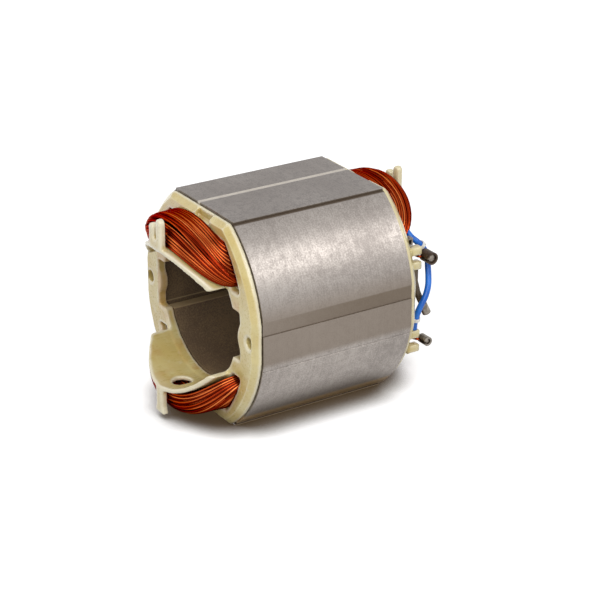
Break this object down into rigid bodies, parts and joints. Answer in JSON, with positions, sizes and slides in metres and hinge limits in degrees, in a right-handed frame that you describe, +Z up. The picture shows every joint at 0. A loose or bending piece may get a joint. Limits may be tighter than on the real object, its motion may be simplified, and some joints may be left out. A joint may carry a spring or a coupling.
{
  "type": "motor stator",
  "caption": "Two-pole motor stator: a welded lamination stack with flat pads and a round bore, moulded end frames, saddle-wound copper coils and a rear jumper lead.",
  "frame": {"origin": "centre of the rotor bore, midway along the lamination stack", "axes": "Y along the bore with the plain front end at -Y and the end with the leads at +Y, +Z up through the upper pole, +X to the side with the leads"},
  "size_m": [0.0674, 0.088, 0.067],
  "materials": {
    "lamination_steel": "rolled edges of stacked sheet, satin",
    "frame_plastic": "cream glass-filled moulding, semi-matt",
    "liner_film": "slot insulation film",
    "coil_copper": "red-brown enamelled copper wire",
    "barrel_dark": "dark oxidised crimp",
    "barrel_grey": "tinned crimp, dull",
    "lead_blue": "blue wire insulation",
    "sleeve_dark": "varnished sleeving",
    "tie_white": "white lacing"
  },
  "bodies": {
    "root": {"lamination_stack": "lamination_steel", "front_end_frame": "frame_plastic", "rear_end_frame": "frame_plastic", "upper_right_slot_liner": "liner_film", "upper_left_slot_liner": "liner_film", "lower_right_slot_liner": "liner_film", "lower_left_slot_liner": "liner_film", "upper_coil": "coil_copper", "lower_coil": "coil_copper", "upper_coil_tail": "coil_copper", "lower_coil_tail": "coil_copper", "upper_terminal_barrel": "barrel_dark", "lower_terminal_barrel": "barrel_grey", "terminal_clip": "barrel_grey", "jumper_lead": "lead_blue", "upper_lead_tie": "tie_white", "lower_lead_tie": "tie_white", "lead_sleeve": "sleeve_dark", "sleeve_crimp": "barrel_grey"}
  },
  "joints": []
}
